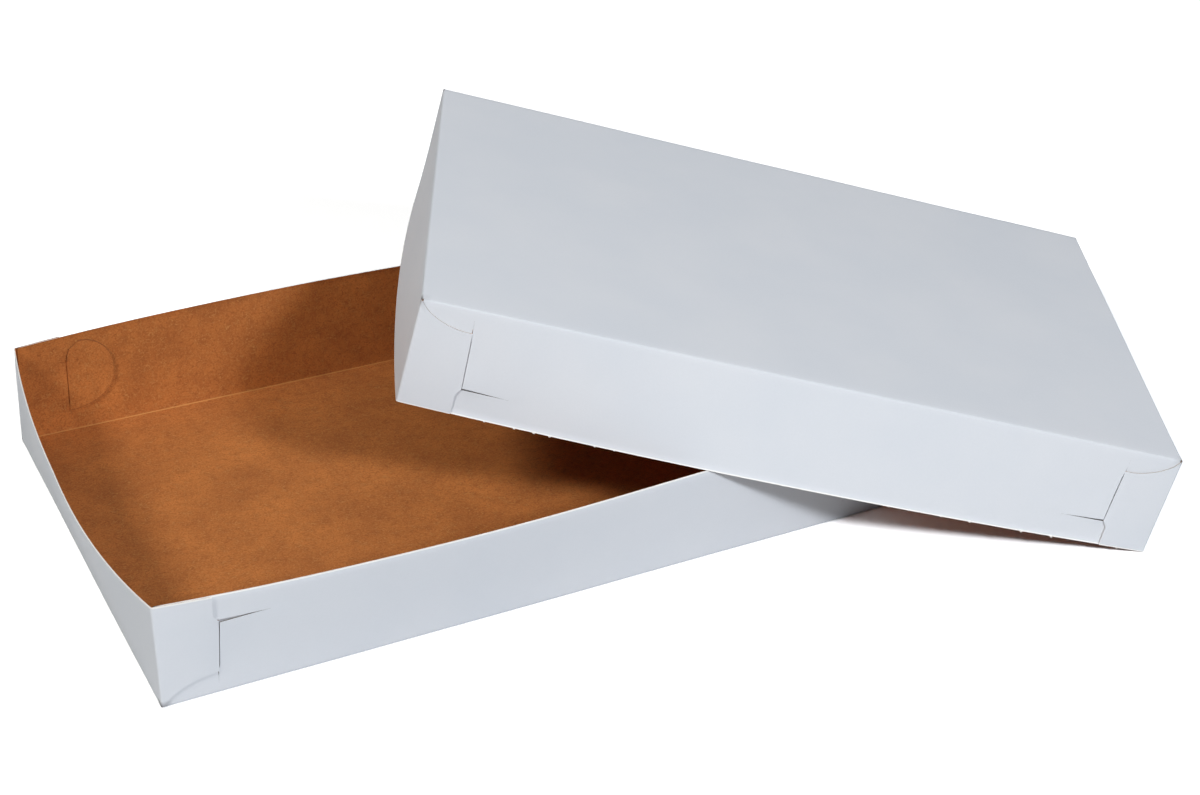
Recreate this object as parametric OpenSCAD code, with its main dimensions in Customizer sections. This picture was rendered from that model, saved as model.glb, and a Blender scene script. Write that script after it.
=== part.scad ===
// Two-piece lock-corner bakery box: a shallow tray and a lid of the same make.
// Each half is one folded paperboard blank. The lid is taken off and leans on
// the tray, with its low end on the surface that the tray stands on.
// Millimetres, +Z up, origin at the centre of the tray's underside.

/* [Tray] */
// Length of the tray's floor panel
tray_length = 394; // [320:1:470]
// Width of the tray's floor panel
tray_width = 264; // [220:1:310]
// Height of the tray's walls
wall_height = 57; // [48:0.5:66]

/* [Board] */
// Thickness of the paperboard
board = 0.6; // [0.4:0.05:0.8]
// Outer radius of every fold
fold_radius = 1.2; // [1.0:0.05:1.6]
// Clearance between two layers of board at a locked corner
layer_gap = 0.2; // [0.1:0.05:0.4]

/* [Lid] */
// How much longer the lid's panel is than the tray's
lid_extra_length = 6; // [3:0.5:8]
// How much wider the lid's panel is than the tray's
lid_extra_width = 2; // [2:0.5:6]
// How much deeper the lid's walls are than the tray's
lid_extra_height = 1.25; // [0:0.25:4]

/* [Locked corners] */
// Distance from the corner of a half to the slit in its long wall
slit_setback = 27.5; // [22:0.5:34]
// How much farther from the corner the slit's upper end is than its lower end
slit_slant = 1.5; // [0:0.25:3]
// Width of the slit
slit_width = 1.2; // [1.0:0.05:1.5]
// Height of the slit's lower end above the fold
slit_foot = 5; // [4:0.5:8]
// Distance from the slit's upper end down from the rim
slit_head = 14; // [11:0.5:17]
// Length of the slit's level leg, away from the corner
slit_leg = 24; // [16:0.5:32]
// Height of the flap's curved lower edge where it reaches the slit
flap_foot = 13; // [10:0.5:16]
// How far the flap's free edge above the slit stays short of it
flap_short = 2.5; // [1.5:0.25:4]
// How far the hook tongue reaches along the inside of the wall
tongue_reach = 25; // [18:0.5:32]
// Distance from the top of the hook tongue up to the rim
tongue_drop = 4; // [2.5:0.25:6]
// Half height of the blunt tip of the hook tongue
tongue_tip = 2; // [1.5:0.25:3]
// Clearance between the tongue and the slit's upper end
tongue_clearance = 0.5; // [0.3:0.05:1]
// Play between the end of a long wall and the fold of the corner
heel_play = 0.3; // [0.2:0.05:0.5]

/* [Swell of the walls] */
// How far an end wall swells outward at the middle of its rim
end_swell = 11; // [4:0.5:14]
// How far a long wall swells outward at the middle of its rim
side_swell = 7; // [3:0.5:9]
// The same at the lid's end wall that stands on the surface
standing_swell = 0; // [0:0.1:0]

/* [Leaning lid] */
// Turn of the lid against the tray, seen from above, in degrees
lid_turn = 24.6; // [20:0.1:28]
// How far the lid's low front corner stands beyond the tray's end
lid_reach = 102; // [92:0.5:112]
// How far the lid's low front corner stands in front of the tray
lid_advance = 97.5; // [88:0.5:106]
// Clearance between the lid's edge and the tray's rim that carries it
rest_gap = 0.3; // [0.2:0.05:0.5]

/* [Hidden] */

// Cells of the blank, counted from its middle lines outward
LEG_CELLS = 5;      // long wall, middle to the end of the slit's level leg
REACH_CELLS = 3;    // along the level leg
HEEL_CELLS = 2;     // from the slit to the end of the long wall
ACROSS_CELLS = 4;   // half of the end wall's width
FOLD_CELLS = 2;     // round a fold
FLAP_STOPS = [0, 0.12, 0.35, 0.65, 1];
TONGUE_CELLS = 5;

X_LEG = LEG_CELLS;
X_SLIT = X_LEG + REACH_CELLS;
X_END = X_SLIT + 1 + HEEL_CELLS;
X_FOLD = X_END + 1;
Y_FOLD = ACROSS_CELLS;
ROW0 = FOLD_CELLS;
FLAP_CELLS = len(FLAP_STOPS) - 1;
PASS_CELL = FOLD_CELLS + FLAP_CELLS;
PASS_ROWS = 4;      // rows of the flap that go through the slit
TONGUE_ROWS = 5;    // rows of the tongue behind the wall
END_ROWS = 6;       // rows from the fold to the rim of an end wall
SIDE_ROWS = 7;      // rows from the fold to the rim of a long wall
HEAD_ROW = 4;       // row of the long wall that holds the level leg
NI = X_FOLD + FOLD_CELLS + END_ROWS;
NJ = Y_FOLD + PASS_CELL + 1 + TONGUE_CELLS;

// Rise of the flap's curved lower edge
CURVE_POWER = 0.75;

function mix(a, b, t) = a + (b - a) * t;
function sgn(n) = n < 0 ? -1 : 1;

// One half is described by [length, width, height, swell at -X, swell at +X].
// Its blank is a grid of lines: i counts along X, j along Y, both from the
// middle, so that one rule gives all four corners.

// Place across the width where the corner's outer layer lies
function outer_y(b) = b[1] / 2 + layer_gap + board;

// Distance of grid line a from the middle of the floor, along X
function line_x(b, a) =
    let(slit = b[0] / 2 - slit_setback,
        leg = slit - slit_leg,
        end = b[0] / 2 - fold_radius - heel_play)
    a <= X_LEG ? leg * a / LEG_CELLS
    : a < X_SLIT ? mix(leg, slit - slit_width / 2, (a - X_LEG) / REACH_CELLS)
    : a == X_SLIT ? slit - slit_width / 2
    : a <= X_END ? mix(slit + slit_width / 2, end, (a - X_SLIT - 1) / HEEL_CELLS)
    : b[0] / 2 - fold_radius;

// Distance of grid line a from the middle of the floor, along Y
function line_y(b, a) = (b[1] / 2 - fold_radius) * a / ACROSS_CELLS;

// Outward swell of the walls: none at the corners and at the fold
function end_bow(b, y, z, side) =
    (side < 0 ? b[3] : b[4]) * max(0, 1 - pow(y / outer_y(b), 2)) * z / b[2];
function side_bow(b, x, z) =
    side_swell * max(0, 1 - pow(2 * x / b[0], 2)) * z / b[2];

// Heights of the rows of an end wall and of a long wall
function end_row(b, q) =
    let(head = b[2] - slit_head - tongue_clearance)
    q <= PASS_ROWS ? mix(fold_radius, head, q / PASS_ROWS)
    : q == TONGUE_ROWS ? b[2] - tongue_drop
    : b[2];
function side_row(b, q) =
    let(head = b[2] - slit_head)
    q == 0 ? fold_radius
    : q <= HEAD_ROW ? mix(fold_radius + slit_foot, head - slit_width, (q - 1) / (HEAD_ROW - 1))
    : q == HEAD_ROW + 1 ? head
    : mix(head, b[2], (q - HEAD_ROW - 1) / (SIDE_ROWS - HEAD_ROW - 1));

// Height of flap row q at a share u of the way from the corner to the slit
function flap_row(b, q, u) =
    let(foot = mix(fold_radius, flap_foot, pow(1 - pow(1 - u, 2), CURVE_POWER)),
        head = b[2] - slit_head - tongue_clearance)
    q <= PASS_ROWS ? mix(foot, head, q / PASS_ROWS) : end_row(b, q);

// The tongue is half of an ellipse that stands on the slit
function tongue_half(b) = (b[2] - tongue_drop - flap_foot) / 2;
function tongue_angle(c) = 90 * c / TONGUE_CELLS;
function tongue_x(b, c) = tongue_reach * sin(tongue_angle(c));
function tongue_row(b, q, c) =
    let(mid = (b[2] - tongue_drop + flap_foot) / 2,
        half = max(tongue_tip, tongue_half(b) * cos(tongue_angle(c))),
        start = flap_row(b, q, 1))
    mid + (start - mid) * half / tongue_half(b);

// Slant of the slit: none at its lower end, all of it at its upper end and
// above. Near the slit the lines of the long wall lean with it.
function slant(b, z) =
    let(foot = fold_radius + slit_foot, head = b[2] - slit_head)
    slit_slant * min(1, max(0, (z - foot) / (head - foot)));
function lean(a) =
    a <= X_LEG ? a / LEG_CELLS
    : a <= X_SLIT + 1 ? 1
    : max(0, (X_END - a) / HEEL_CELLS);

// Point of the flap in column c of row q: the corner's fold, the flap that
// runs outside the long wall, the turn through the slit and the hook tongue.
// The outer face is s = 0 and the inner face is s = 1.
function flap_point(b, q, c, s, side) =
    let(slit = b[0] / 2 - slit_setback,
        r = fold_radius - s * board,
        cx = b[0] / 2 - fold_radius,
        cy = outer_y(b) - fold_radius,
        short = q > PASS_ROWS ? flap_short : 0,
        u = c <= FOLD_CELLS ? 0 : FLAP_STOPS[min(c - FOLD_CELLS, FLAP_CELLS)],
        turn = (s == 0 ? -1 : 1) * board / 2,
        z = c <= FOLD_CELLS ? end_row(b, q)
            : c <= PASS_CELL ? flap_row(b, q, u)
            : tongue_row(b, q, c - PASS_CELL - 1),
        edge = slit + short - slant(b, z),
        x = c <= FOLD_CELLS ? cx + r * cos(90 * c / FOLD_CELLS)
            : c < PASS_CELL ? mix(cx, edge, u)
            : c == PASS_CELL ? edge + turn
            : c == PASS_CELL + 1 ? slit - slant(b, z) + turn
            : slit - slant(b, z) - board / 2 - tongue_x(b, c - PASS_CELL - 1),
        y = c <= FOLD_CELLS ? cy + r * sin(90 * c / FOLD_CELLS)
            : c <= PASS_CELL ? outer_y(b) - s * board
            : b[1] / 2 - board - layer_gap - s * board)
    [x + (c <= FOLD_CELLS ? end_bow(b, y, z, side) : 0), y + side_bow(b, x, z), z];

// Point of the blank in the quarter where both counts are positive
function quarter_point(b, i, j, s, side) =
    let(r = fold_radius - s * board)
    i <= X_FOLD && j <= Y_FOLD ? [line_x(b, i), line_y(b, j), s * board]
    : j <= Y_FOLD ?
        let(k = i - X_FOLD,
            y = line_y(b, j) * (outer_y(b) - fold_radius) / (b[1] / 2 - fold_radius),
            z = k < FOLD_CELLS ? fold_radius - r * cos(90 * k / FOLD_CELLS) : end_row(b, k - ROW0),
            x = k < FOLD_CELLS ? b[0] / 2 - fold_radius + r * sin(90 * k / FOLD_CELLS)
                : b[0] / 2 - s * board)
        [x + end_bow(b, y, z, side), y, z]
    : i <= X_FOLD ?
        let(k = j - Y_FOLD,
            z = k < FOLD_CELLS ? fold_radius - r * cos(90 * k / FOLD_CELLS) : side_row(b, k - ROW0),
            x = line_x(b, i) - lean(i) * slant(b, z),
            y = k < FOLD_CELLS ? b[1] / 2 - fold_radius + r * sin(90 * k / FOLD_CELLS)
                : b[1] / 2 - s * board)
        [x, y + side_bow(b, x, z), z]
    : flap_point(b, i - X_FOLD - ROW0, j - Y_FOLD, s, side);

// Which cells of the blank are board: floor, end wall, long wall with its
// L-shaped slit, flap, the strip in the slit and the tongue
function is_slit(i, q) =
    (i == X_SLIT && q >= 1 && q <= HEAD_ROW) || (i >= X_LEG && i < X_SLIT && q == HEAD_ROW);
function is_board(i, j) =
    let(k = i - X_FOLD, m = j - Y_FOLD, q = k - ROW0)
    i < 0 || j < 0 ? false
    : k < 0 && m < 0 ? true
    : m < 0 ? q < END_ROWS
    : k < 0 ? i < X_END && m < FOLD_CELLS + SIDE_ROWS && !is_slit(i, m - ROW0)
    : q < 0 || q >= END_ROWS ? false
    : m < PASS_CELL ? true
    : m == PASS_CELL ? q < PASS_ROWS
    : m < PASS_CELL + 1 + TONGUE_CELLS && q < TONGUE_ROWS;
function cell(n) = n < 0 ? -n - 1 : n;
function board_at(i, j) =
    i >= -NI && i < NI && j >= -NJ && j < NJ && is_board(cell(i), cell(j));
function used(i, j) =
    board_at(i, j) || board_at(i - 1, j) || board_at(i, j - 1) || board_at(i - 1, j - 1);

function index(i, j, s) = ((i + NI) * (2 * NJ + 1) + j + NJ) * 2 + s;
function blank_point(b, i, j, s) =
    let(p = quarter_point(b, abs(i), abs(j), s, sgn(i)))
    [sgn(i) * p[0], sgn(j) * p[1], p[2]];

// One half of the box as a single closed sheet of board: both faces of each
// cell, and a cut edge wherever its neighbour is missing
module folded_half(b) {
    points = [for (i = [-NI:NI], j = [-NJ:NJ], s = [0, 1])
        used(i, j) ? blank_point(b, i, j, s) : [0, 0, 0]];
    faces = [for (i = [-NI:NI - 1], j = [-NJ:NJ - 1]) if (board_at(i, j))
        let(v = [[i, j], [i + 1, j], [i + 1, j + 1], [i, j + 1]],
            o = [for (p = v) index(p[0], p[1], 0)],
            n = [for (p = v) index(p[0], p[1], 1)],
            open = [!board_at(i, j - 1), !board_at(i + 1, j), !board_at(i, j + 1), !board_at(i - 1, j)])
        each concat(
            [[o[0], o[1], o[2]], [o[0], o[2], o[3]], [n[2], n[1], n[0]], [n[3], n[2], n[0]]],
            [for (e = [0:3]) if (open[e])
                let(f = (e + 1) % 4) each [[o[f], o[e], n[e]], [o[f], n[e], n[f]]]])];
    polyhedron(points, faces, convexity = 10);
}

TRAY = [tray_length, tray_width, wall_height, end_swell, end_swell];
LID = [
    tray_length + lid_extra_length,
    tray_width + lid_extra_width,
    wall_height + lid_extra_height,
    end_swell,
    standing_swell];

// Plan of the lid's low front corner
CORNER_X = tray_length / 2 + lid_reach;
CORNER_Y = -tray_width / 2 - lid_advance;

// The lid's lower front edge, at distance s from its low corner, has to clear
// the tray's rim: tilt that lifts it there, and how far behind the rim it lies
function tilt_for(s) = asin((wall_height + rest_gap) / s);
function behind_rim(s) =
    let(out = side_swell * (1 - pow(2 * s / LID[0] - 1, 2)) - board,
        x = CORNER_X - s * cos(lid_turn) * cos(tilt_for(s)) - out * sin(lid_turn),
        y = CORNER_Y + s * sin(lid_turn) * cos(tilt_for(s)) - out * cos(lid_turn))
    y + tray_width / 2 + side_bow(TRAY, x, wall_height);
function crossing(low, high, n) =
    let(m = (low + high) / 2)
    n == 0 ? m : behind_rim(m) > 0 ? crossing(low, m, n - 1) : crossing(m, high, n - 1);
lid_tilt = tilt_for(crossing(2 * wall_height, LID[0], 24));

// Tray, as it stands
module base_tray() {
    color("#c9ced6") folded_half(TRAY);
}

// Lid, turned over, tilted and turned about its low front corner
module lid() {
    color("#d3d8de")
        translate([CORNER_X, CORNER_Y, 0])
            rotate([0, lid_tilt, -lid_turn])
                translate([-LID[0] / 2, LID[1] / 2, LID[2]])
                    rotate([180, 0, 0])
                        folded_half(LID);
}

base_tray();
lid();
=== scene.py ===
"""Two-piece lock-corner bakery box: an open tray and a lid that leans on it.

Each half is one folded sheet of paperboard, clay-coated white outside and
brown kraft inside. Sizes are in millimetres in the settings below and turned
to metres when a mesh is made."""

import math
from types import SimpleNamespace

import bpy
import numpy as np
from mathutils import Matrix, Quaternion, Vector


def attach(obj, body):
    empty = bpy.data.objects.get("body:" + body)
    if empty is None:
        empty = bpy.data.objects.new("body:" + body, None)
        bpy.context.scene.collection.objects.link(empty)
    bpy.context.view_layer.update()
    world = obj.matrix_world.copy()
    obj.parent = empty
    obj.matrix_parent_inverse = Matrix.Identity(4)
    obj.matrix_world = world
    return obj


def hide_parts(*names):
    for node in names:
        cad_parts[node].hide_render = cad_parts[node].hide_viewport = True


bl_info = {
    "name": "Bakery Box",
    "version": (1, 0, 0),
    "blender": (4, 5, 0),
    "location": "View3D > Sidebar > Bakery Box",
    "description": "Folded paperboard bakery box with lock corners, tray and lid",
    "category": "Add Mesh",
}

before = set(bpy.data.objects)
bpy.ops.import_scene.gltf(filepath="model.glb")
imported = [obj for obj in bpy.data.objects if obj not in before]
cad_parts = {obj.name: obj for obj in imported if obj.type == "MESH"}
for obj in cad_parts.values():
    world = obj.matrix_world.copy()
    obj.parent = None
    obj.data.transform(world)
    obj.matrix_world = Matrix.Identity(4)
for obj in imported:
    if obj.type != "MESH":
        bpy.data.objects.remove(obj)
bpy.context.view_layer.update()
MM = 0.001


def size_setting(name, description, mm, low=None, high=None):
    """A length setting, written in millimetres and kept in metres."""
    limits = {} if low is None else dict(min=low * MM, max=high * MM)
    return bpy.props.FloatProperty(
        name=name, description=description, default=mm * MM, unit="LENGTH", precision=4, **limits)


def angle_setting(name, description, degrees):
    """An angle setting, written in degrees and kept in radians."""
    return bpy.props.FloatProperty(
        name=name, description=description, default=math.radians(degrees), subtype="ANGLE")


def linear(text):
    """sRGB hex to linear RGB: c / 12.92 below 0.04045, else ((c + 0.055) / 1.055) ** 2.4."""
    c = np.array([int(text[k:k + 2], 16) for k in (1, 3, 5)]) / 255.0
    return tuple(np.where(c <= 0.04045, c / 12.92, ((c + 0.055) / 1.055) ** 2.4).tolist())


def hex_colour(name, text, description):
    """A colour setting from an sRGB hex value."""
    return bpy.props.FloatVectorProperty(
        name=name, description=description, subtype="COLOR", size=3, min=0.0, max=1.0, default=linear(text))


class BoardSettings(bpy.types.PropertyGroup):
    """The paperboard and the way it is folded."""

    thickness: size_setting("Board", "Thickness of the paperboard", 0.6, 0.4, 0.8)
    fold_radius: size_setting("Fold radius", "Outer radius of every fold", 1.2, 1.0, 1.6)
    layer_gap: size_setting("Layer gap", "Clearance between two layers at a locked corner", 0.12, 0.1, 0.4)
    waviness: size_setting("Waviness", "Height of the board's slow waves", 0.2, 0.0, 0.6)


class TraySettings(bpy.types.PropertyGroup):
    """Sizes of the tray, and how much larger the lid is."""

    length: size_setting("Length", "Length of the tray's floor", 394.0)
    width: size_setting("Width", "Width of the tray's floor", 264.0)
    height: size_setting("Height", "Height of the tray's walls", 57.0)
    lid_extra_length: size_setting("Lid extra length", "How much longer the lid is", 6.0)
    lid_extra_width: size_setting("Lid extra width", "How much wider the lid is", 2.0)
    lid_extra_height: size_setting("Lid extra height", "How much deeper the lid is", 1.2)
    end_swell: size_setting("End swell", "Outward swell of an end wall's rim", 10.1)
    lid_end_swell: size_setting("Lid end swell", "Outward swell of the rim at the lid's raised end", 6.2)
    side_swell: size_setting("Side swell", "Outward swell of a long wall's rim", 7.0)
    free_swell: size_setting(
        "Free swell", "Further swell of the tray's long walls where the lid leaves them free", 3.7)
    end_skew: size_setting(
        "End skew", "How far the swell of the tray's free end sits towards the front", 2.5, 0.0, 6.0)
    corner_lean: size_setting("Corner lean", "How far the tray's back left rim corner leans inward", 2.6, 0.0, 6.0)


class LockSettings(bpy.types.PropertyGroup):
    """The slit in the long wall and the flap with its hook tongue."""

    setback: size_setting("Setback", "Distance from the corner to the slit", 27.5)
    slant: size_setting("Slant", "How much farther from the corner the slit's upper end is", 1.5)
    width: size_setting("Slit width", "Width of the slit", 1.2)
    foot: size_setting("Slit foot", "Height of the slit's lower end above the fold", 5.0)
    head: size_setting("Slit head", "Distance from the slit's upper end to the rim", 14.0)
    leg: size_setting("Leg", "Length of the slit's level leg", 24.0)
    flap_foot: size_setting("Flap foot", "Height of the flap's lower edge at the slit", 13.0)
    flap_short: size_setting("Flap short", "How far the flap's free edge stays short of the slit", 2.5)
    tongue_reach: size_setting("Tongue reach", "How far the tongue reaches behind the wall", 25.0)
    tongue_drop: size_setting("Tongue drop", "Distance from the tongue's top to the rim", 4.0)
    clearance: size_setting("Clearance", "Clearance of the tongue in the slit", 0.5)
    press: size_setting("Press", "How far the strip above the slit's leg is pressed in", 0.3)
    tuck: size_setting("Tuck", "How far the flap curves in where it enters the slit", 0.35)
    spring: size_setting("Spring", "How far the tongue's round edge stands off the wall", 0.5)
    lift: size_setting("Lift", "How far the wall below the slit's leg is lifted", 0.7)


class LidSettings(bpy.types.PropertyGroup):
    """Where the lid leans."""

    angle: angle_setting("Turn", "Turn of the lid seen from above", 24.6)
    reach: size_setting("Reach", "How far its low front corner stands beyond the tray's end", 102.0)
    advance: size_setting("Advance", "How far that corner stands in front of the tray", 97.5)
    rest_gap: size_setting("Rest gap", "Clearance over the tray's rim", 0.3)


class ColourSettings(bpy.types.PropertyGroup):
    """Colours of the paperboard's two faces and its cut edge."""

    white: hex_colour("Coated white", "#E4E7EC", "Clay coating, evenly lit")
    white_shade: hex_colour("Coated shade", "#E0E4EA", "Faint mottle in the coating")
    # painted highlight: whiter than the coating, along the rims and the white side of the cut edges
    rim_highlight: hex_colour("Rim highlight", "#FFFEFB", "Painted highlight along the rims")
    kraft: hex_colour("Kraft", "#AC652C", "Kraft back, main tone")
    kraft_clear: hex_colour("Kraft clear", "#C67837", "Clearer clouds")
    kraft_dark: hex_colour("Kraft dark", "#874817", "Darker flocks and hairs")
    # also gives the painted highlight along the folds of the floor
    kraft_light: hex_colour("Kraft light", "#CF914F", "Paler hairs and the painted highlight along folds")
    shive: hex_colour("Shive", "#6E3A16", "Small dark splinters")
    edge: hex_colour("Cut edge", "#EFEAE3", "Core of the board where it is cut")
    # painted shade in the corner notches and along slits and cut edges at the lock
    shade_colour: hex_colour("Corner shade", "#2C231E", "Painted shade in corner notches and at the lock")


class StageSettings(bpy.types.PropertyGroup):
    """Floor, lamps and camera."""

    floor: hex_colour("Floor", "#C8C8C8", "Studio floor, as it lights the object")
    burn: bpy.props.FloatProperty(
        name="Burn", description="Colour of the floor as the camera sees it, 1 is white", default=2.3)
    ambient: bpy.props.FloatProperty(name="Ambient", description="Strength of the world's light", default=0.06)
    key: bpy.props.FloatProperty(
        name="Key", description="Power of the soft lamp at the left", default=62.0, unit="POWER")
    front: bpy.props.FloatProperty(
        name="Front", description="Power of the low lamp in front", default=64.0, unit="POWER")
    over: bpy.props.FloatProperty(
        name="Overhead", description="Power of the broad lamp above", default=8.0, unit="POWER")
    place: bpy.props.FloatVectorProperty(
        name="Camera place", description="Where the camera stands", subtype="TRANSLATION", unit="LENGTH", size=3,
        precision=4, default=(-0.38026, -0.95967, 0.644))
    azimuth: angle_setting("Azimuth", "Where the camera looks from, turned from the front", -32.1017)
    elevation: angle_setting("Elevation", "How far the camera looks down", 29.0667)
    roll: angle_setting("Roll", "How far the camera is rolled", 3.4634)
    focal: bpy.props.FloatProperty(
        name="Focal", description="Focal length on a 36 mm sensor", default=65.95, unit="CAMERA")
    shift: bpy.props.FloatVectorProperty(
        name="Shift", description="Lens shift of the photograph's crop, in frame widths", size=2, precision=4,
        default=(-0.16825, -0.02546))


# Cells of the sheet's grid: along the long wall to the slit's leg, over the leg,
# from the slit to the corner, across the floor and round a fold
LEG, REACH, HEEL, ACROSS, FOLD = 26, 10, 6, 26, 5
# along the flap and the tongue
FLAP, TONGUE = 14, 14
# up the flap's passage through the slit, its hook and the strip over it
PASS_ROWS, HOOK_ROWS, TOP_ROWS = 12, 3, 2
# up the long wall below, beside and above the slit
FOOT_ROWS, SLIT_ROWS, RIM_ROWS = 2, 10, 4
PASSING = FOLD + FLAP
LEG_ROW = FOLD + FOOT_ROWS + SLIT_ROWS

# Millimetres, unless a comment says otherwise.
# Width of the band at a rim that the die has rounded over, and how far out it rolls
BURR = 0.8
LID_CURL, TRAY_CURL = 0.35, -0.25
# Radius of the painted shade in the notch at a lower corner
LID_NOTCH, TRAY_NOTCH = 1.2, 1.9
# Width of the cut between a long wall's end and the flap's fold
CORNER_CUT = 0.3
# Where the tray's long wall swells most near its free end, and how far to each side
FREE_AT, FREE_LEFT, FREE_RIGHT = -60, 138, 160
# How far from the raised end the skew and the lean fade out
SKEW_REACH = 60.0
# Reach of the press and the lift along the wall, as a share of the slit's leg
PRESS_REACH = 0.55
# Height of the lifted wall below the leg, and width of the flap's tuck at the slit
LIFT_HEIGHT, TUCK_WIDTH = 11.0, 2.6
# Share of the slit's width that closes below the flap and at the leg's far end
SLIT_SHUT, LEG_SHUT = 0.97, 0.94
# Share of the tongue's reach that its upper hook is set back by
HOOK_INSET = 0.3
# Length on the blank of a fold of radius 1
ARC = 1.57
# Nicks on the lid's front rim, from its middle, as the photograph shows them
NICKS = [-156, -141, -131, -123, -100, -90, 55, 66, 84, 100, 129, 146, 184]
NICK_SIZE, NICK_SPREAD = 1.3, 0.5


def plain(group):
    """The lengths of a group in millimetres."""
    return SimpleNamespace(**{key: getattr(group, key) / MM for key in group.__annotations__ if key != "angle"})


def half_sizes(scene, lid):
    """Plain numbers of one half: length, width, height, fold radius, the swell at -X and +X and along the long walls,
    the roll of the rim and the radius of the painted shade in the corner notch."""
    t = plain(scene.box_tray)
    extra = (t.lid_extra_length, t.lid_extra_width, t.lid_extra_height) if lid else (0.0, 0.0, 0.0)
    raised, standing = (t.lid_end_swell, 0.0) if lid else (t.end_swell, t.end_swell)
    return dict(
        L=t.length + extra[0], W=t.width + extra[1], H=t.height + extra[2], r=scene.box_board.fold_radius / MM,
        bow=(raised, standing), side=t.side_swell, free=0.0 if lid else t.free_swell,
        curl=LID_CURL if lid else TRAY_CURL, notch=LID_NOTCH if lid else TRAY_NOTCH)


def ramp(*stops):
    """Straight runs between stops: (from, to, cells) laid end to end without repeats."""
    return np.concatenate([[stops[0][0]]] + [np.linspace(a, b, n + 1)[1:] for a, b, n in stops])


def slit_shift(lock, b, z):
    """Slant of the slit: 0 at its foot, lock.slant at its head and above."""
    foot = b["r"] + lock.foot
    return lock.slant * np.clip((z - foot) / (b["H"] - lock.head - foot), 0.0, 1.0)


def rim_swell(b, x):
    """Outward swell of a long wall's rim: swell * (1 - (2x / L)**2)."""
    return b["side"] * np.clip(1 - (2 * x / b["L"]) ** 2, 0, None)


def free_bulge(b, x):
    """Further swell of a long wall's rim near the tray's free end: free * (1 - |u|**3)
    on the left of u = 0, and free * (1 - u**2)**2 on its right, where it dies out
    before the lid crosses the rim."""
    u = np.clip(np.where(x < FREE_AT, (x - FREE_AT) / FREE_LEFT, (x - FREE_AT) / FREE_RIGHT), -1.0, 1.0)
    return b["free"] * np.where(u < 0, 1 - np.abs(u) ** 3, (1 - u**2) ** 2)


def side_bow(g, x, z):
    """Outward swell of a long wall at height z."""
    return (rim_swell(g.b, x) + free_bulge(g.b, g.side * x)) * z / g.H


def end_bow(g, y, z):
    """Outward swell of an end wall at height z: swell * (1 - (y / outer)**2) * z / H."""
    return g.bow * np.clip(1 - (y / g.outer) ** 2, 0, None) * z / g.H


def quarter_grid(scene, b, side):
    """The places and grid lines that the parts of a quarter share. The lines run from
    the middle outward: xs and ys over the floor, rows_end up the end wall and its
    flaps, rows_side up the long wall."""
    board, lock = plain(scene.box_board), plain(scene.box_lock)
    g = SimpleNamespace(b=b, side=side, lock=lock, t=board.thickness, r=board.fold_radius, gap=board.layer_gap)
    g.L, g.W, g.H = b["L"], b["W"], b["H"]
    g.bow = b["bow"][0 if side < 0 else 1]
    g.slit = g.L / 2 - lock.setback
    g.leg = g.slit - lock.leg
    g.head = g.H - lock.head
    g.outer = g.W / 2 + g.gap + g.t
    before, after = g.slit - lock.width / 2, g.slit + lock.width / 2
    corner = g.L / 2 - g.r
    g.xs = ramp((0, g.leg, LEG), (g.leg, before, REACH), (before, after, 1),
                (after, corner - CORNER_CUT, HEEL), (corner - CORNER_CUT, corner, 1))
    g.ys = np.linspace(0, g.W / 2 - g.r, ACROSS + 1)
    hook, top = g.head - lock.clearance, g.H - lock.tongue_drop
    g.rows_end = ramp((g.r, hook, PASS_ROWS), (hook, top, HOOK_ROWS), (top, g.H - BURR, TOP_ROWS), (g.H - BURR, g.H, 1))
    g.rows_side = ramp((g.r, g.r + lock.foot, FOOT_ROWS), (g.r + lock.foot, g.head - lock.width, SLIT_ROWS),
                       (g.head - lock.width, g.head, 1), (g.head, g.H - BURR, RIM_ROWS), (g.H - BURR, g.H, 1))
    g.nx, g.ny = len(g.xs) - 1, len(g.ys) - 1
    g.n_end, g.n_side = len(g.rows_end) - 1, len(g.rows_side) - 1
    g.NI, g.NJ = g.nx + FOLD + g.n_end, g.ny + max(FOLD + g.n_side, PASSING + 1 + TONGUE)
    g.angle = np.linspace(0, math.pi / 2, FOLD + 1)[1:]
    return g


def end_wall(g, s):
    """Points of the end wall: its fold, then straight rows that swell."""
    rr = g.r - s * g.t
    x = np.concatenate([g.L / 2 - g.r + rr * np.sin(g.angle), np.full(g.n_end, g.L / 2 - s * g.t)])[:, None]
    z = np.concatenate([g.r - rr * np.cos(g.angle), g.rows_end[1:]])[:, None]
    z[FOLD - 1] = g.r
    y = (g.ys * (g.outer - g.r) / (g.W / 2 - g.r))[None, :]
    return np.stack(np.broadcast_arrays(x + end_bow(g, y, z), y, z), -1)


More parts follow.
